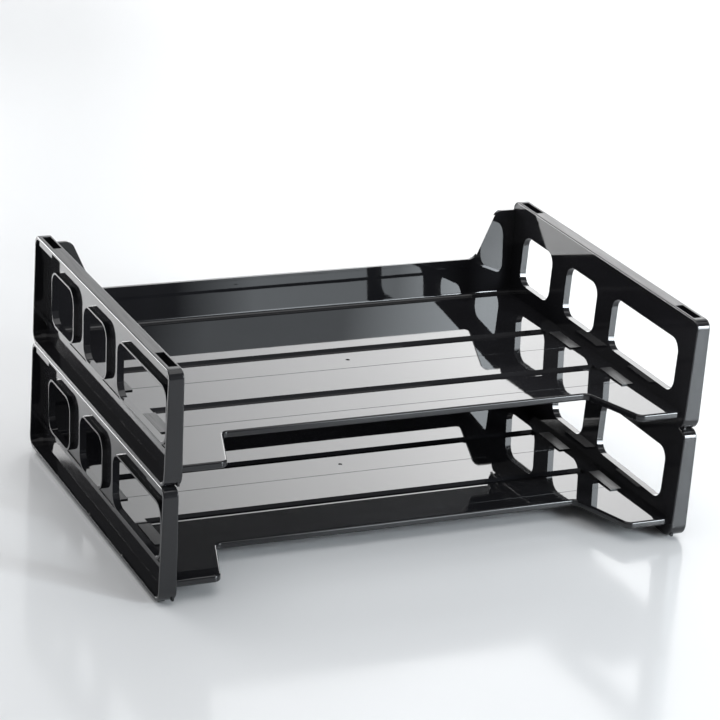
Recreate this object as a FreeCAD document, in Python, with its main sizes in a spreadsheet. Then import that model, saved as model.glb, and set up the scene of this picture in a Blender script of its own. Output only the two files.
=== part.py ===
import FreeCAD, Part
import math
import os
import re
import Sketcher

# Two side-loading letter trays, one stacked on the other. Each tray is three mouldings: a pan (deck,
# front bead, back wall) and a left and a right side frame. Millimetres. X is the width, Y the depth
# with the open front at -Y, Z is up. The origin is the centre of the footprint, on the table.

# Driving dimensions: name -> (value, what it is).
SIZES = {
    "width": (335.0, "overall, across both side frames"),
    "depth": (235.0, "overall, front face to rear face of a side frame"),
    "pitch": (69.0, "height of one side frame, and of one tray in the stack"),
    "lug_height": (2.0, "stacking lugs below a side frame"),
    "frame_bottom": (10.6, "side frame thickness at its bottom"),
    "draft": (1.55, "degrees, a side frame gets thinner upwards"),
    "web": (1.4, "thickness of a side frame's web"),
    "corner_top": (5.5, "side frame upper corner radius"),
    "corner_bottom": (8.0, "side frame lower corner radius"),
    "edge_round": (0.8, "rounded outer edges of a side frame"),
    "flange": (1.8, "flange round a side frame, top, front and rear"),
    "flange_bottom": (2.4, "flange along the bottom of a side frame"),
    "channel_corner": (5.0, "corner radius of the hollow inside the flanges"),
    "foot_height": (14.3, "upper edge of the thicker foot of the web, above the frame's base"),
    "foot_step": (0.45, "foot of the web, proud of the web at its upper edge"),
    "foot_bottom": (1.3, "foot of the web, proud of the web at the bottom flange"),
    "window_bottom": (18.3, "lower edge of the windows above the frame's base"),
    "window_height": (33.0, "height of the windows"),
    "window_corner": (8.0, "corner radius of the windows"),
    "window_short": (40.0, "length of the two short windows"),
    "window_long": (79.5, "length of the long window"),
    "window_front": (17.2, "frame's front face to the long window"),
    "pillar": (19.5, "between two windows"),
    "collar_wall": (1.2, "thickness of the collar round a window"),
    "collar_height": (2.8, "collar, outward from the web"),
    "slot_length": (21.6, "stacking slot in the top flange"),
    "slot_width": (5.1, "stacking slot in the top flange"),
    "slot_end": (7.5, "frame's end face to the stacking slot"),
    "slot_depth": (4.4, "stacking slot, down to its floor"),
    "skirt_drop": (3.8, "box that hangs round a stacking slot, below the flange"),
    "skirt_wall": (1.2, "wall of that box"),
    "lug_length": (5.0, "one prong of a stacking lug"),
    "lug_width": (4.2, "one prong of a stacking lug"),
    "lug_spacing": (13.5, "between the prongs of a pair"),
    "slope": (0.95, "degrees, the deck rises towards the front"),
    "deck_level": (9.8, "deck's upper face above the frame's base, mid depth"),
    "deck_plate": (2.2, "thickness of the deck and of the back wall"),
    "seam": (0.15, "gap between a pan and a side frame"),
    "tab_setback": (4.5, "frame's front face to the front edge of the deck's tabs"),
    "recess_depth": (41.0, "finger recess, from the tabs' front edge"),
    "tab_inner": (129.5, "half width of the finger recess at the front"),
    "slant": (17.5, "degrees, sides of the recess"),
    "tab_corner": (5.0, "corner radius of the tabs"),
    "recess_corner": (4.0, "corner radius in the recess"),
    "bead_width": (2.8, "rounded bead along the front edge"),
    "bead_height": (4.4, "rounded bead along the front edge"),
    "bead_round": (1.3, "rounding of that bead"),
    "groove_width": (9.6, "stiffening groove across the deck, at the deck's face"),
    "groove_floor": (6.6, "stiffening groove, width of its floor"),
    "groove_depth": (1.9, "stiffening groove across the deck"),
    "groove_half": (144.0, "half length of a groove"),
    "groove_rear": (38.4, "rear edge of the rear groove, from mid depth"),
    "groove_pitch": (66.2, "between the two grooves"),
    "wall_setback": (1.7, "frame's rear face to the wings' back face, at their top"),
    "wall_lean": (3.85, "degrees, the back wall leans away from the deck"),
    "wall_height": (24.4, "back wall above the deck"),
    "wing_height": (55.5, "wings of the back wall above the deck"),
    "wing_inner": (145.0, "half width between the wings at their top"),
    "wing_slant": (25.0, "degrees, sides of the wings"),
    "wing_corner": (6.0, "corner radius of the wings"),
    "wall_fillet": (2.6, "fillet between the deck and the back wall"),
    "clip_length": (28.0, "clip head of a side frame, on the deck"),
    "clip_width": (7.5, "clip head of a side frame, on the deck"),
    "clip_height": (1.1, "clip head of a side frame, at its rear end"),
    "clip_toe": (0.6, "clip head of a side frame, at its front end"),
    "clip_inner": (144.0, "centre line to the clip head's inner edge"),
    "neck_width": (3.6, "clip's neck, through the deck"),
    "neck_length": (24.0, "clip's neck, through the deck"),
    "shelf_thick": (2.0, "shelf of a side frame, under the deck"),
    "gate_radius": (1.3, "gate mark"),
    "gate_depth": (0.4, "gate mark"),
    "gate_deck": (17.7, "gate mark on the deck, from mid depth"),
    "gate_frame": (83.0, "gate mark on a side frame, from mid depth"),
    "gate_drop": (4.6, "gate mark on a side frame, below its top"),
    "witness_width": (0.5, "mould insert line across the deck"),
    "witness_depth": (0.15, "mould insert line across the deck"),
    "witness_rear": (4.0, "rear insert line, from mid depth"),
    "witness_front": (-60.0, "front insert line, from mid depth"),
}

doc = FreeCAD.newDocument("LetterTray")
sheet = doc.addObject("Spreadsheet::Sheet", "Sizes")
for row, (alias, (number, note)) in enumerate(SIZES.items(), start=1):
    sheet.set(f"A{row}", alias)
    sheet.set(f"B{row}", str(number))
    sheet.set(f"C{row}", note)
    sheet.setAlias(f"B{row}", alias)
doc.recompute()


def bound(text):
    """The expression for a formula that is written with the sheet's plain aliases."""
    return re.sub(r"[a-z_]+", lambda word: "Sizes." + word[0] if word[0] in SIZES else word[0], str(text))


def value(text):
    """The number that a formula gives now."""
    return float(sheet.evalExpression(bound(text)))


# Formulas that several sub-parts share, in the frame of one tray: z = 0 at the side frames' base.
FRAME_TOP = "(frame_bottom - pitch * tan(draft))"
INNER_FACE = "(width / 2 - frame_bottom + deck_level * tan(draft))"
DECK_EDGE = f"({INNER_FACE} - seam)"
DECK_FRONT = "(tab_setback - depth / 2)"
RECESS_EDGE = f"({DECK_FRONT} + recess_depth)"
RECESS_HALF = "(tab_inner - recess_depth * tan(slant))"
WALL_FRONT = "(depth / 2 - wall_setback - deck_plate - wing_height * tan(wall_lean))"
GROOVES = ("groove_rear", "(groove_rear - groove_pitch)")
WINDOWS = (
    ("(window_front - depth / 2)", "window_long"),
    ("(window_front + window_long + pillar - depth / 2)", "window_short"),
    ("(window_front + window_long + window_short + 2 * pillar - depth / 2)", "window_short"),
)
SLOTS = ("(slot_end - depth / 2)", "(depth / 2 - slot_end - slot_length)")


def new_body(name):
    body = doc.addObject("PartDesign::Body", name)
    body.Label = name
    return body


def new_sketch(body, plane, offset="0", tilt=0):
    """A sketch on one of the body's origin planes, moved along its normal; a tilt of -1 or 1 adds the draft."""
    origin_plane = next(item for item in body.Origin.OriginFeatures if item.Role == plane)
    sketch = body.newObject("Sketcher::SketchObject", "Sketch")
    sketch.AttachmentSupport = [(origin_plane, "")]
    sketch.MapMode = "FlatFace"
    if tilt:
        turned = FreeCAD.Rotation(FreeCAD.Vector(tilt, 0, 0), value("draft"))
        sketch.AttachmentOffset = FreeCAD.Placement(FreeCAD.Vector(), turned)
        sketch.setExpression("AttachmentOffset.Rotation.Angle", bound("draft"))
    sketch.setExpression("AttachmentOffset.Base.z", bound(offset))
    return sketch


def fix_point(sketch, geometry, end, across, up):
    """Ties one end of a line or one centre to formulas for its two coordinates."""
    for kind, formula, axis in (("DistanceX", across, -2), ("DistanceY", up, -1)):
        number = value(formula)
        if abs(number) < 1e-9:
            sketch.addConstraint(Sketcher.Constraint("PointOnObject", geometry, end, axis))
        else:
            index = sketch.addConstraint(Sketcher.Constraint(kind, geometry, end, number))
            sketch.setExpression(f"Constraints[{index}]", bound(formula))


def draw_polygon(sketch, corners):
    """A closed outline of straight lines through corners given as pairs of formulas."""
    points = [FreeCAD.Vector(value(across), value(up), 0) for across, up in corners]
    count = len(points)
    lines = [sketch.addGeometry(Part.LineSegment(points[i], points[(i + 1) % count])) for i in range(count)]
    for i, line in enumerate(lines):
        sketch.addConstraint(Sketcher.Constraint("Coincident", line, 2, lines[(i + 1) % count], 1))
        fix_point(sketch, line, 1, *corners[i])


def draw_rectangle(sketch, left, bottom, length, height):
    right, top = f"{left} + {length}", f"{bottom} + {height}"
    draw_polygon(sketch, [(left, bottom), (right, bottom), (right, top), (left, top)])


def draw_round_rectangle(sketch, left, bottom, length, height, radius):
    """A rectangle with four equal rounded corners: arcs whose centres are tied, joined by tangent lines."""
    x0, y0, r = value(left), value(bottom), value(radius)
    x1, y1 = x0 + value(length), y0 + value(height)
    sides = [((x0 + r, y0), (x1 - r, y0)), ((x1, y0 + r), (x1, y1 - r)),
             ((x1 - r, y1), (x0 + r, y1)), ((x0, y1 - r), (x0, y0 + r))]
    centres = [(f"{left} + {length} - {radius}", f"{bottom} + {radius}"),
               (f"{left} + {length} - {radius}", f"{bottom} + {height} - {radius}"),
               (f"{left} + {radius}", f"{bottom} + {height} - {radius}"),
               (f"{left} + {radius}", f"{bottom} + {radius}")]
    lines = [sketch.addGeometry(Part.LineSegment(FreeCAD.Vector(*a, 0), FreeCAD.Vector(*b, 0))) for a, b in sides]
    turn = math.pi / 2
    for i, (across, up) in enumerate(centres):
        circle = Part.Circle(FreeCAD.Vector(value(across), value(up), 0), FreeCAD.Vector(0, 0, 1), r)
        arc = sketch.addGeometry(Part.ArcOfCircle(circle, (i - 1) * turn, i * turn))
        sketch.addConstraint(Sketcher.Constraint("Tangent", lines[i], 2, arc, 1))
        sketch.addConstraint(Sketcher.Constraint("Tangent", arc, 2, lines[(i + 1) % 4], 1))
        index = sketch.addConstraint(Sketcher.Constraint("Radius", arc, r))
        sketch.setExpression(f"Constraints[{index}]", bound(radius))
        fix_point(sketch, arc, 3, across, up)


def draw_circle(sketch, across, up, radius):
    centre = FreeCAD.Vector(value(across), value(up), 0)
    circle = sketch.addGeometry(Part.Circle(centre, FreeCAD.Vector(0, 0, 1), value(radius)))
    index = sketch.addConstraint(Sketcher.Constraint("Radius", circle, value(radius)))
    sketch.setExpression(f"Constraints[{index}]", bound(radius))
    fix_point(sketch, circle, 3, across, up)


def extrude(body, kind, label, sketch, length, reverse=False):
    """A Pad along the sketch's normal, or a Pocket against it, or the other way round with reverse."""
    before = body.Shape.Volume if body.Shape and not body.Shape.isNull() else 0.0
    feature = body.newObject("PartDesign::" + kind, label)
    feature.Profile = sketch
    feature.Reversed = reverse
    feature.setExpression("Length", bound(length))
    doc.recompute()
    change = body.Shape.Volume - before
    if (kind == "Pad") != (change > 1e-3):
        raise RuntimeError(f"{body.Label}: {label} changed the volume by {change:.3f}")
    return feature


def round_edges(body, label, radius, wanted):
    """A Fillet on every edge of the body's last feature for which wanted(edge) is true."""
    base = body.Tip
    names = [f"Edge{i}" for i, edge in enumerate(base.Shape.Edges, start=1) if wanted(edge)]
    if not names:
        raise RuntimeError(f"{body.Label}: {label} found no edge")
    feature = body.newObject("PartDesign::Fillet", label)
    feature.Base = (base, names)
    feature.setExpression("Radius", bound(radius))
    doc.recompute()
    if feature.Shape.isNull() or not feature.Shape.isValid():
        raise RuntimeError(f"{body.Label}: {label} failed on {len(names)} edges")


def ends(edge):
    return [vertex.Point for vertex in edge.Vertexes]


def runs_along(edge, axis):
    """True for a straight edge parallel to one axis, 0, 1 or 2."""
    if edge.Curve.TypeId != "Part::GeomLine":
        return False
    step = edge.Vertexes[-1].Point - edge.Vertexes[0].Point
    return abs(step[axis]) > step.Length - 1e-4


def at(point, axis, formula):
    return abs(point[axis] - value(formula)) < 1e-3


def make_side_frame(name, side):
    """A side frame: a web with windows inside a flange, open outwards. side is -1 left, +1 right."""
    body = new_body(name)
    outward = side < 0  # a pad runs along +X, so the left frame's outward pads are reversed

    profile = new_sketch(body, "XZ_Plane", "-depth / 2")
    draw_polygon(profile, [(f"{side} * width / 2", "0"), (f"{side} * width / 2", "pitch"),
                           (f"{side} * (width / 2 - {FRAME_TOP})", "pitch"),
                           (f"{side} * (width / 2 - frame_bottom)", "0")])
    extrude(body, "Pad", "Blank", profile, "depth")
    for label, radius, level in (("UpperCorners", "corner_top", "pitch"), ("LowerCorners", "corner_bottom", "0")):
        round_edges(body, label, radius,
                    lambda edge: runs_along(edge, 0) and at(ends(edge)[0], 2, level))
    round_edges(body, "OuterEdges", "edge_round", lambda edge: not runs_along(edge, 0))

    # The hollow's floor and the collars follow the drafted inner face, so the web has one thickness.
    channel = new_sketch(body, "YZ_Plane", f"{side} * width / 2", side)
    draw_round_rectangle(channel, "flange - depth / 2", "flange_bottom", "(depth - 2 * flange)",
                         "(pitch - flange - flange_bottom)", "channel_corner")
    extrude(body, "Pocket", "Channel", channel, "(frame_bottom - web) * cos(draft)", outward)

    # The foot of the web is thicker, and flares out down to the bottom flange.
    foot = new_sketch(body, "XZ_Plane", "flange / 2 - depth / 2")
    face = "(width / 2 - frame_bottom + web)"
    draw_polygon(foot, [(f"{side} * {face}", "flange_bottom / 2"),
                        (f"{side} * ({face} + foot_bottom)", "flange_bottom / 2"),
                        (f"{side} * ({face} + foot_height * tan(draft) + foot_step)", "foot_height"),
                        (f"{side} * {face}", "foot_height")])
    extrude(body, "Pad", "WebFoot", foot, "depth - flange")

    collars = new_sketch(body, "YZ_Plane", f"{side} * {face}", side)
    windows = new_sketch(body, "YZ_Plane", f"{side} * width / 2")
    for front, length in WINDOWS:
        draw_round_rectangle(collars, f"{front} - collar_wall", "window_bottom - collar_wall",
                             f"({length} + 2 * collar_wall)", "(window_height + 2 * collar_wall)",
                             "(window_corner + collar_wall)")
        draw_round_rectangle(windows, front, "window_bottom", length, "window_height", "window_corner")
    extrude(body, "Pad", "Collars", collars, "collar_height", outward)
    extrude(body, "Pocket", "Windows", windows, "frame_bottom", outward)

    # Blind slots in the top flange, boxed in below it, and the lugs that drop into the frame below.
    near_web = f"(width / 2 - {FRAME_TOP} + web)"
    slot_left = near_web if side > 0 else f"(-1 * {near_web} - slot_width)"
    box_left = slot_left if side > 0 else f"({slot_left} - skirt_wall)"
    lug_left = f"({slot_left} + (slot_width - lug_width) / 2)"
    boxes = new_sketch(body, "XY_Plane", "pitch - flange - skirt_drop")
    slots = new_sketch(body, "XY_Plane", "pitch")
    lugs = new_sketch(body, "XY_Plane")
    for start in SLOTS:
        draw_rectangle(boxes, box_left, f"{start} - skirt_wall", "(slot_width + skirt_wall)",
                       "(slot_length + 2 * skirt_wall)")
        draw_rectangle(slots, slot_left, start, "slot_width", "slot_length")
        for step in ("-1", "1"):
            draw_rectangle(lugs, lug_left,
                           f"{start} + (slot_length - lug_length + {step} * lug_spacing) / 2",
                           "lug_width", "lug_length")
    extrude(body, "Pad", "SlotBoxes", boxes, "skirt_drop + flange / 2")
    extrude(body, "Pocket", "StackingSlots", slots, "slot_depth")
    extrude(body, "Pad", "StackingLugs", lugs, "lug_height", True)

    # Shelves under the deck, with clips that come up through it and lie on it.
    for number, groove in enumerate(GROOVES, start=1):
        middle = f"({groove} - groove_width - clip_length / 2)"
        under = f"(deck_level - deck_plate - {middle} * tan(slope) - 2 * seam)"
        for label, near, across, low, rear_tall, front_tall, along in (
                ("Shelf", "clip_inner", f"({INNER_FACE} + web - clip_inner)",
                 f"{under} - shelf_thick", "shelf_thick", "shelf_thick", "clip_length"),
                ("Neck", "clip_inner + (clip_width - neck_width) / 2", "neck_width",
                 f"{under} - shelf_thick / 2", "(shelf_thick / 2 + deck_plate + 3 * seam + clip_toe / 2)",
                 "(shelf_thick / 2 + deck_plate + 3 * seam + clip_toe / 2)", "neck_length"),
                ("Head", "clip_inner", "clip_width",
                 f"{under} + deck_plate + 3 * seam", "clip_height", "clip_toe", "clip_length")):
            sketch = new_sketch(body, "YZ_Plane", f"{side} * ({near})")
            rear, front = f"({middle} + {along} / 2)", f"({middle} - {along} / 2)"
            fall = f"{along} / 2 * tan(slope)"
            draw_polygon(sketch, [(front, f"{low} + {fall}"), (rear, f"{low} - {fall}"),
                                  (rear, f"{low} - {fall} + {rear_tall}"),
                                  (front, f"{low} + {fall} + {front_tall}")])
            extrude(body, "Pad", f"{label}{number}", sketch, across, outward)

    mark = new_sketch(body, "YZ_Plane", f"{side} * (width / 2 - {FRAME_TOP} - edge_round)")
    draw_circle(mark, "gate_frame", "pitch - gate_drop", "gate_radius")
    extrude(body, "Pocket", "GateMark", mark, "edge_round + gate_depth", not outward)
    return body


def make_pan(name):
    """A pan, modelled level with z = 0 at the deck's upper face, mid depth."""
    body = new_body(name)
    outline = new_sketch(body, "XY_Plane")
    half = [(DECK_EDGE, f"({WALL_FRONT} + deck_plate)"), (DECK_EDGE, DECK_FRONT),
            ("tab_inner", DECK_FRONT), (RECESS_HALF, RECESS_EDGE)]
    draw_polygon(outline, half + [(f"-1 * {across}", up) for across, up in reversed(half)])
    extrude(body, "Pad", "Deck", outline, "deck_plate", True)

    # The bead follows the front edge: along each tab, back along the slant and across the recess.
    bead = new_sketch(body, "XY_Plane")
    slanted = "bead_width * (1 / cos(slant) - tan(slant))"
    inner = [(DECK_EDGE, f"{DECK_FRONT} + bead_width"),
             (f"tab_inner + {slanted}", f"{DECK_FRONT} + bead_width"),
             (f"{RECESS_HALF} + {slanted}", f"{RECESS_EDGE} + bead_width")]
    edge = half[1:]
    draw_polygon(bead, edge + [(f"-1 * ({across})", up) for across, up in reversed(edge)]
                 + [(f"-1 * ({across})", up) for across, up in inner] + inner[::-1])
    extrude(body, "Pad", "FrontBead", bead, "bead_height", True)

    # Grooves with sloped sides, and the ribs that they make on the deck's underside.
    ribs = new_sketch(body, "YZ_Plane", "-groove_half")
    grooves = new_sketch(body, "YZ_Plane", "groove_half")
    flank = "(groove_width - groove_floor) / 2"
    for rear in GROOVES:
        front = f"({rear} - groove_width)"
        draw_polygon(ribs, [(f"{rear} + {flank}", "-deck_plate / 2"), (f"{front} - {flank}", "-deck_plate / 2"),
                            (front, "-1 * (deck_plate * 0.8 + groove_depth)"),
                            (rear, "-1 * (deck_plate * 0.8 + groove_depth)")])
        draw_polygon(grooves, [(rear, "0"), (front, "0"), (f"{front} + {flank}", "-groove_depth"),
                               (f"{rear} - {flank}", "-groove_depth")])
    extrude(body, "Pad", "GrooveRibs", ribs, "2 * groove_half")
    extrude(body, "Pocket", "Grooves", grooves, "2 * groove_half")

    # The back wall leans back. Its outline is cut from the front: between the wings, and at both ends,
    # where it follows the side frames' draft.
    wall = new_sketch(body, "YZ_Plane", f"-1 * ({DECK_EDGE} + wing_height * tan(draft))")
    lean_back = f"({WALL_FRONT} + wing_height * tan(wall_lean))"
    draw_polygon(wall, [(WALL_FRONT, "-deck_plate"), (WALL_FRONT, "0"), (lean_back, "wing_height"),
                        (f"{lean_back} + deck_plate", "wing_height"), (f"{WALL_FRONT} + deck_plate", "0"),
                        (f"{WALL_FRONT} + deck_plate", "-deck_plate")])
    extrude(body, "Pad", "BackWall", wall, f"2 * ({DECK_EDGE} + wing_height * tan(draft))")
    cut = new_sketch(body, "XZ_Plane", f"-1 * ({WALL_FRONT} - deck_plate)")
    gap = [("(wing_inner + wing_corner * tan(wing_slant))", "(wing_height + wing_corner)"),
           ("(wing_inner - (wing_height - wall_height) * tan(wing_slant))", "wall_height")]
    draw_polygon(cut, gap + [(f"-1 * {across}", up) for across, up in reversed(gap)])
    beside = f"({DECK_EDGE} + 2 * wing_height * tan(draft))"
    for side in ("1", "-1"):
        draw_polygon(cut, [(f"{side} * {DECK_EDGE}", "0"), (f"{side} * {beside}", "2 * wing_height"),
                           (f"{side} * ({beside} + web)", "2 * wing_height"),
                           (f"{side} * ({beside} + web)", "-2 * deck_plate"),
                           (f"{side} * {DECK_EDGE}", "-2 * deck_plate")])
    extrude(body, "Pocket", "WallOutline", cut, "3 * deck_plate + wing_height * tan(wall_lean)")

    def is_wing_corner(edge):
        first, last = ends(edge)[0], ends(edge)[-1]
        across = abs(first.x - last.x) < 1e-3 and abs(first.z - last.z) < 1e-3
        return across and first.z > value("wall_height") - 1e-3 and abs(first.x) < value("wing_inner") + 1e-3
    round_edges(body, "WingCorners", "wing_corner", is_wing_corner)
    round_edges(body, "WallFillet", "wall_fillet",
                lambda edge: runs_along(edge, 0) and edge.Length > value("width / 2")
                and at(ends(edge)[0], 2, "0") and at(ends(edge)[0], 1, WALL_FRONT))

    for label, radius, level in (("TabCorners", "tab_corner", DECK_FRONT),
                                 ("RecessCorners", "recess_corner", RECESS_EDGE)):
        round_edges(body, label, radius,
                    lambda edge: runs_along(edge, 2) and at(ends(edge)[0], 1, level)
                    and abs(ends(edge)[0].x) < value("tab_inner") + 1e-3)

    rim = [edge.CenterOfMass for edge in body.Shape.Edges
           if at(edge.CenterOfMass, 2, "0") and edge.CenterOfMass.y < value(RECESS_EDGE) + 1e-3
           and abs(edge.CenterOfMass.x) < value(DECK_EDGE) - 1e-3]

    def is_bead_edge(edge):
        middle = edge.CenterOfMass
        level = at(middle, 2, "0") or at(middle, 2, "-bead_height")
        return level and any(abs(middle.x - point.x) + abs(middle.y - point.y) < 1e-3 for point in rim)
    round_edges(body, "BeadEdges", "bead_round", is_bead_edge)

    holes = new_sketch(body, "XY_Plane")
    for side in ("-1", "1"):
        for rear in GROOVES:
            draw_rectangle(holes, f"{side} * (clip_inner + clip_width / 2) - neck_width / 2 - seam",
                           f"{rear} - groove_width - (clip_length + neck_length) / 2 - 2 * seam",
                           "(neck_width + 2 * seam)", "(neck_length + 4 * seam)")
    extrude(body, "Pocket", "ClipHoles", holes, "deck_plate + groove_depth")

    witness = new_sketch(body, "XY_Plane")
    for rear in ("witness_rear", "witness_front"):
        draw_rectangle(witness, f"-1 * {DECK_EDGE}", rear, f"2 * {DECK_EDGE}", "witness_width")
    extrude(body, "Pocket", "WitnessLines", witness, "witness_depth")
    mark = new_sketch(body, "XY_Plane")
    draw_circle(mark, "0", "gate_deck", "gate_radius")
    extrude(body, "Pocket", "GateMark", mark, "gate_depth")
    return body


NODES = []
for tray, base in (("lower", "lug_height"), ("upper", "lug_height + pitch")):
    for side_name, side in (("left", -1), ("right", 1)):
        side_frame = make_side_frame(f"{tray}_{side_name}_side", side)
        side_frame.setExpression("Placement.Base.z", bound(base))
        NODES.append(side_frame)
    pan = make_pan(f"{tray}_pan")
    pan.Placement.Rotation = FreeCAD.Rotation(FreeCAD.Vector(-1, 0, 0), value("slope"))
    pan.setExpression("Placement.Rotation.Angle", bound("slope"))
    pan.setExpression("Placement.Base.z", bound(f"{base} + deck_level"))
    NODES.append(pan)
doc.recompute()

for item in doc.Objects:
    if "Invalid" in item.State or "Error" in item.State:
        raise RuntimeError(f"{item.Label} is {item.State}")
os.makedirs("parts", exist_ok=True)
for node in NODES:
    if node.Shape.isNull() or not node.Shape.isValid() or len(node.Shape.Solids) != 1:
        raise RuntimeError(f"{node.Label} is not one valid solid")
    box = node.Shape.BoundBox
    print(f"{node.Label:18s} volume {node.Shape.Volume / 1000:7.1f} cm3  box "
          f"{box.XMin:.2f} {box.YMin:.2f} {box.ZMin:.2f} .. {box.XMax:.2f} {box.YMax:.2f} {box.ZMax:.2f}")
    node.Shape.exportStep(f"parts/{node.Label}.step")
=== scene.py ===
import math

import bpy
from mathutils import Matrix, Vector


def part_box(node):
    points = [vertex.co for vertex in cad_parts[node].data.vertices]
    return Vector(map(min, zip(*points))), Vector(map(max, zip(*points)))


# Two stacked letter trays in glossy black plastic, in a pale studio. Metres, degrees and watts.

CAMERA_PLACE = Vector((-0.652, -1.364, 0.664))
CAMERA_YAW = 25.54      # turned from +Y towards +X
CAMERA_PITCH = 20.89    # below level
CAMERA_ROLL = 4.25
CAMERA_LENS = 134.9     # millimetres, on the sensor below
SENSOR_WIDTH = 36       # millimetres

EDGE_ROUND = 0.00035    # rounding of the moulded edges that the CAD model leaves sharp
EDGE_SEGMENTS = 2
EDGE_ANGLE = 35         # edges sharper than this are rounded
WELD_GAP = 1e-6

PLASTIC_COLOUR = (0.014, 0.014, 0.016)
PLASTIC_IOR = 1.53
WORN_SHADE = 0.75       # darkest patches, as a share of the plastic's colour
PAN_ROUGHNESS = (0.012, 0.034)
PAN_FLOW = (6.0, 260.0, 160.0)      # flow lines per metre along X, Y and Z
SIDE_ROUGHNESS = (0.03, 0.08)
SIDE_FLOW = (60.0, 12.0, 60.0)

FACE_DEPTH = 0.0012     # a flange's end face lies within this of the frame's end
TOP_DEPTH = 0.0005      # a flange's top face lies within this of the frame's top
FACING = 0.9            # a face looks along an axis when its normal has this much of it
CLIP_OUTER = 0.153      # clip heads lie nearer the middle than this
SATIN_ROUGHNESS = (0.35, 0.49)
SATIN_COLOUR = (0.02, 0.0205, 0.022)
SATIN_BRUSH = (1500.0, 40.0, 40.0)  # brushed streaks per metre along X, Y and Z
END_SATIN = 0.2         # how much of the satin the front and rear faces have

FLOOR_REACH = 4.0
FLOOR_COLOUR = (0.78, 0.79, 0.80)
FLOOR_ROUGHNESS = (0.10, 0.16)
FLOOR_IOR = 1.25

PANEL_LEFT, PANEL_RIGHT = -0.3, 3.2
PANEL_BOTTOM, PANEL_TOP = 0.02, 2.2
PANEL_PLACE = 2.3       # how far behind the trays
PANEL_RAMP = (0.6, 1.3, 0.9, 3.5)       # from this X to that, from this strength to that
PANEL_UNEVEN = (0.93, 1.07)
PANEL_COLOUR = (0.8, 0.8, 0.8)

COOL_WHITE = (0.88, 0.95, 1.0)
FRONT_EDGE = (0.43, 0.53, 0.0, 1.0)     # the front box's soft left edge, across X
FRONT_CORE = (0.72, 0.92, 0.0, 4.0)     # its bright right part, across X
FRONT_FALL = (0.1, 0.4, 0.35, 1.0)      # dimmer at its foot, up Z
WORLD_COLOUR = (0.97, 0.98, 1.0)
WORLD_STRENGTH = 0.2

MIDDLE_OF_NOISE = (0.3, 0.7)    # a noise texture's values lie mostly between these


def node_material(name):
    """A new material, with its node tree and its principled shader."""
    material = bpy.data.materials.new(name)
    material.use_nodes = True
    tree = material.node_tree
    return material, tree, tree.nodes["Principled BSDF"]


def add_node(tree, kind, inputs=None, **settings):
    """A new node. A socket given as an input is linked, anything else is set as a value."""
    node = tree.nodes.new(kind)
    for key, setting in settings.items():
        setattr(node, key, setting)
    for key, source in (inputs or {}).items():
        if isinstance(source, bpy.types.NodeSocket):
            tree.links.new(source, node.inputs[key])
        else:
            node.inputs[key].default_value = source
    return node


def map_range(tree, source, low, high, to_low, to_high):
    node = add_node(tree, "ShaderNodeMapRange", {"Value": source})
    for key, number in (("From Min", low), ("From Max", high), ("To Min", to_low), ("To Max", to_high)):
        node.inputs[key].default_value = number
    return node.outputs["Result"]


def math_node(tree, operation, first, second=0.0):
    return add_node(tree, "ShaderNodeMath", {0: first, 1: second}, operation=operation).outputs[0]


def noise(tree, place, scale, detail, roughness=0.5):
    inputs = {"Vector": place, "Scale": scale, "Detail": detail, "Roughness": roughness}
    return add_node(tree, "ShaderNodeTexNoise", inputs).outputs["Fac"]


def stretched_noise(tree, place, scales, detail, roughness=0.5):
    """Noise that is drawn out into lines along the axes with the smaller scales."""
    stretched = add_node(tree, "ShaderNodeMapping", {"Vector": place, "Scale": scales}).outputs["Vector"]
    return noise(tree, stretched, 1.0, detail, roughness)


def object_place(tree):
    return add_node(tree, "ShaderNodeTexCoord").outputs["Object"]


def split(tree, vector):
    parts = add_node(tree, "ShaderNodeSeparateXYZ", {"Vector": vector})
    return parts.outputs["X"], parts.outputs["Y"], parts.outputs["Z"]


def bump(tree, height, strength, distance, below=None):
    inputs = {"Height": height, "Strength": strength, "Distance": distance}
    if below:
        inputs["Normal"] = below
    return add_node(tree, "ShaderNodeBump", inputs).outputs["Normal"]


def moulded_plastic(name, roughness, flow_scale):
    """Injection-moulded gloss plastic: faint flow lines, uneven polish, fine dust and slow waviness."""
    material, tree, shader = node_material(name)
    place = object_place(tree)
    flow = stretched_noise(tree, place, flow_scale, detail=4.0, roughness=0.55)
    polish = noise(tree, place, scale=22.0, detail=5.0, roughness=0.6)
    dust = noise(tree, place, scale=900.0, detail=2.0)
    waves = noise(tree, place, scale=7.0, detail=1.0)

    mixed = math_node(tree, "MULTIPLY", flow, polish)
    tree.links.new(map_range(tree, mixed, 0.12, 0.4, *roughness), shader.inputs["Roughness"])

    tint = add_node(tree, "ShaderNodeValToRGB", {"Fac": polish})
    dark, full = tint.color_ramp.elements
    dark.position = 0.35
    dark.color = (*(channel * WORN_SHADE for channel in PLASTIC_COLOUR), 1)
    full.position = 0.7
    full.color = (*PLASTIC_COLOUR, 1)
    tree.links.new(tint.outputs["Color"], shader.inputs["Base Color"])

    slow = bump(tree, waves, strength=0.05, distance=0.003)
    lines = bump(tree, flow, strength=0.03, distance=0.0002, below=slow)
    fine = bump(tree, dust, strength=0.02, distance=0.00005, below=lines)
    tree.links.new(fine, shader.inputs["Normal"])
    shader.inputs["IOR"].default_value = PLASTIC_IOR
    return material, tree, shader


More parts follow.
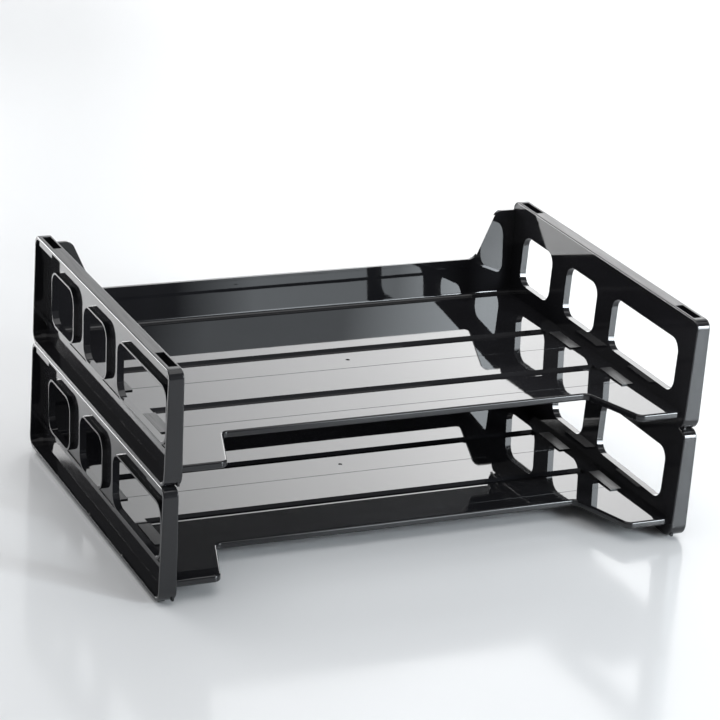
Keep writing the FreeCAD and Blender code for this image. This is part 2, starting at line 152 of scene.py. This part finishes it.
def satin_mask(tree, place, top_level, end_face):
    """Full on a side frame's top flange and clip heads, partial on its front and rear faces."""
    x, y, z = split(tree, place)
    normal = split(tree, add_node(tree, "ShaderNodeNewGeometry").outputs["True Normal"])
    upward = math_node(tree, "GREATER_THAN", normal[2], FACING)
    endward = math_node(tree, "GREATER_THAN", math_node(tree, "ABSOLUTE", normal[1]), FACING)
    at_top = math_node(tree, "GREATER_THAN", z, top_level - TOP_DEPTH)
    at_end = math_node(tree, "GREATER_THAN", math_node(tree, "ABSOLUTE", y), end_face - FACE_DEPTH)
    at_clip = math_node(tree, "LESS_THAN", math_node(tree, "ABSOLUTE", x), CLIP_OUTER)
    flat = math_node(tree, "MULTIPLY", upward, math_node(tree, "MAXIMUM", at_top, at_clip))
    ends = math_node(tree, "MULTIPLY", math_node(tree, "MULTIPLY", endward, at_end), END_SATIN)
    return math_node(tree, "MAXIMUM", flat, ends)


def lay_over(tree, data_type, mask, socket, above):
    """Mixes above over what a shader's socket already has, where the mask is."""
    mix = add_node(tree, "ShaderNodeMix", {"Factor": mask}, data_type=data_type)
    tree.links.new(socket.links[0].from_socket, mix.inputs["A"])
    if isinstance(above, bpy.types.NodeSocket):
        tree.links.new(above, mix.inputs["B"])
    else:
        mix.inputs["B"].default_value = above
    tree.links.new(mix.outputs["Result"], socket)


def add_satin(tree, shader, top_level, end_face):
    """Makes the outer flange and the clip heads of a side frame satin, brushed across the face."""
    place = object_place(tree)
    mask = satin_mask(tree, place, top_level, end_face)
    streaks = stretched_noise(tree, place, SATIN_BRUSH, detail=3.0)
    satin = map_range(tree, streaks, *MIDDLE_OF_NOISE, *SATIN_ROUGHNESS)
    lay_over(tree, "FLOAT", mask, shader.inputs["Roughness"], satin)
    lay_over(tree, "RGBA", mask, shader.inputs["Base Color"], (*SATIN_COLOUR, 1))

    height = math_node(tree, "MULTIPLY", streaks, mask)
    below = shader.inputs["Normal"].links[0].from_socket
    brushed = bump(tree, height, strength=0.25, distance=0.00005, below=below)
    tree.links.new(brushed, shader.inputs["Normal"])


def side_plastic(tray):
    top_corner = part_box(f"{tray}_left_side")[1]
    material, tree, shader = moulded_plastic(f"{tray}_side_plastic", SIDE_ROUGHNESS, SIDE_FLOW)
    add_satin(tree, shader, top_level=top_corner[2], end_face=top_corner[1])
    return material


def round_edges(node):
    """Rounds the edges that the mould would round, and keeps the flat faces flat."""
    for polygon in node.data.polygons:
        polygon.use_smooth = True
    weld = node.modifiers.new("weld", "WELD")
    weld.merge_threshold = WELD_GAP
    bevel = node.modifiers.new("mould_round", "BEVEL")
    bevel.width = EDGE_ROUND
    bevel.segments = EDGE_SEGMENTS
    bevel.limit_method = "ANGLE"
    bevel.angle_limit = math.radians(EDGE_ANGLE)
    bevel.use_clamp_overlap = True
    bevel.harden_normals = True
    normals = node.modifiers.new("normals", "WEIGHTED_NORMAL")
    normals.keep_sharp = True


def dress_nodes(nodes):
    """Gives each CAD node its plastic and its rounded edges."""
    pan_plastic = moulded_plastic("pan_plastic", PAN_ROUGHNESS, PAN_FLOW)[0]
    side_plastics = {tray: side_plastic(tray) for tray in ("lower", "upper")}
    for name, node in nodes.items():
        tray = name.split("_")[0]
        node.data.materials.clear()
        node.data.materials.append(pan_plastic if name.endswith("pan") else side_plastics[tray])
        round_edges(node)


def make_plane(name, corners, material):
    """A flat piece of the studio, which isn't part of the object."""
    mesh = bpy.data.meshes.new(name)
    mesh.from_pydata(corners, [], [(0, 1, 2, 3)])
    mesh.materials.append(material)
    piece = bpy.data.objects.new(name, mesh)
    bpy.context.scene.collection.objects.link(piece)


def make_floor():
    """Pale glossy table top."""
    material, tree, shader = node_material("floor_white")
    mottle = noise(tree, object_place(tree), scale=5.0, detail=3.0)
    rough = map_range(tree, mottle, *MIDDLE_OF_NOISE, *FLOOR_ROUGHNESS)
    tree.links.new(rough, shader.inputs["Roughness"])
    shader.inputs["Base Color"].default_value = (*FLOOR_COLOUR, 1)
    shader.inputs["IOR"].default_value = FLOOR_IOR
    reach = FLOOR_REACH
    corners = [(-reach, -reach, 0), (reach, -reach, 0), (reach, reach, 0), (-reach, reach, 0)]
    make_plane("floor", corners, material)


def make_backdrop():
    """A tall lit panel behind the trays, brighter towards its right end."""
    material, tree, shader = node_material("lit_panel")
    place = object_place(tree)
    ramp = map_range(tree, split(tree, place)[0], *PANEL_RAMP)
    uneven = map_range(tree, noise(tree, place, scale=2.5, detail=1.0), *MIDDLE_OF_NOISE, *PANEL_UNEVEN)
    tree.links.new(math_node(tree, "MULTIPLY", ramp, uneven), shader.inputs["Emission Strength"])
    shader.inputs["Emission Color"].default_value = (1, 1, 1, 1)
    shader.inputs["Base Color"].default_value = (*PANEL_COLOUR, 1)
    bottom = [(x, PANEL_PLACE, PANEL_BOTTOM) for x in (PANEL_LEFT, PANEL_RIGHT)]
    top = [(x, PANEL_PLACE, PANEL_TOP) for x in (PANEL_RIGHT, PANEL_LEFT)]
    make_plane("backdrop", bottom + top, material)


def add_area(name, place, target, width, height, power, colour=(1, 1, 1)):
    light = bpy.data.lights.new(name, "AREA")
    light.shape = "RECTANGLE"
    light.size = width
    light.size_y = height
    light.energy = power
    light.color = colour
    piece = bpy.data.objects.new(name, light)
    piece.location = place
    piece.rotation_euler = (Vector(target) - Vector(place)).to_track_quat("-Z", "Y").to_euler()
    bpy.context.scene.collection.objects.link(piece)
    return light


def grade_front(light):
    """Makes the front box brighter towards its right end and dimmer at its foot."""
    light.use_nodes = True
    tree = light.node_tree
    x, y, z = split(tree, add_node(tree, "ShaderNodeNewGeometry").outputs["Position"])
    across = math_node(tree, "ADD", map_range(tree, x, *FRONT_EDGE), map_range(tree, x, *FRONT_CORE))
    glow = math_node(tree, "MULTIPLY", across, map_range(tree, z, *FRONT_FALL))
    tree.links.new(glow, tree.nodes["Emission"].inputs["Strength"])


def light_scene():
    """A graded box in front on the right, a low one behind on the left, and one overhead."""
    front = add_area("front_light", place=(0.74, -1.25, 0.52), target=(0.74, 0.0, 0.52),
                     width=0.62, height=0.9, power=12, colour=COOL_WHITE)
    grade_front(front)
    add_area("left_light", place=(-0.86, 1.1, 0.22), target=(-0.86, 0.0, 0.22),
             width=0.92, height=0.4, power=14)
    add_area("overhead_light", place=(-0.2, -0.1, 2.4), target=(0.0, 0.0, 0.0),
             width=3.0, height=3.0, power=36)
    world = bpy.data.worlds.new("studio")
    world.use_nodes = True
    background = world.node_tree.nodes["Background"]
    background.inputs["Color"].default_value = (*WORLD_COLOUR, 1)
    background.inputs["Strength"].default_value = WORLD_STRENGTH
    bpy.context.scene.world = world
    bpy.context.scene.view_settings.view_transform = "Standard"


def place_camera():
    yaw, pitch, roll = (math.radians(angle) for angle in (CAMERA_YAW, CAMERA_PITCH, CAMERA_ROLL))
    level = math.cos(pitch)
    forward = Vector((math.sin(yaw) * level, math.cos(yaw) * level, -math.sin(pitch)))
    right = Vector((math.cos(yaw), -math.sin(yaw), 0))
    up = right.cross(forward)
    turned_right = math.cos(roll) * right + math.sin(roll) * up
    turned_up = math.cos(roll) * up - math.sin(roll) * right
    data = bpy.data.cameras.new("camera")
    data.lens = CAMERA_LENS
    data.sensor_width = SENSOR_WIDTH
    camera = bpy.data.objects.new("camera", data)
    axes = Matrix((turned_right, turned_up, -forward)).transposed()
    camera.matrix_world = Matrix.Translation(CAMERA_PLACE) @ axes.to_4x4()
    bpy.context.scene.collection.objects.link(camera)
    bpy.context.scene.camera = camera


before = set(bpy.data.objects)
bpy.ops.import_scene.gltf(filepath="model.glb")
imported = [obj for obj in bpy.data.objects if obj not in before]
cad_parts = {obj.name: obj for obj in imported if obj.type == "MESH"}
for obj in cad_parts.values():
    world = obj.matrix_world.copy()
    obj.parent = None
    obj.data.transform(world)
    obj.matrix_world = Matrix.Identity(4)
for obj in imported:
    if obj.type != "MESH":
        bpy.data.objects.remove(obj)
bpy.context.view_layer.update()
dress_nodes(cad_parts)
make_floor()
make_backdrop()
light_scene()
place_camera()
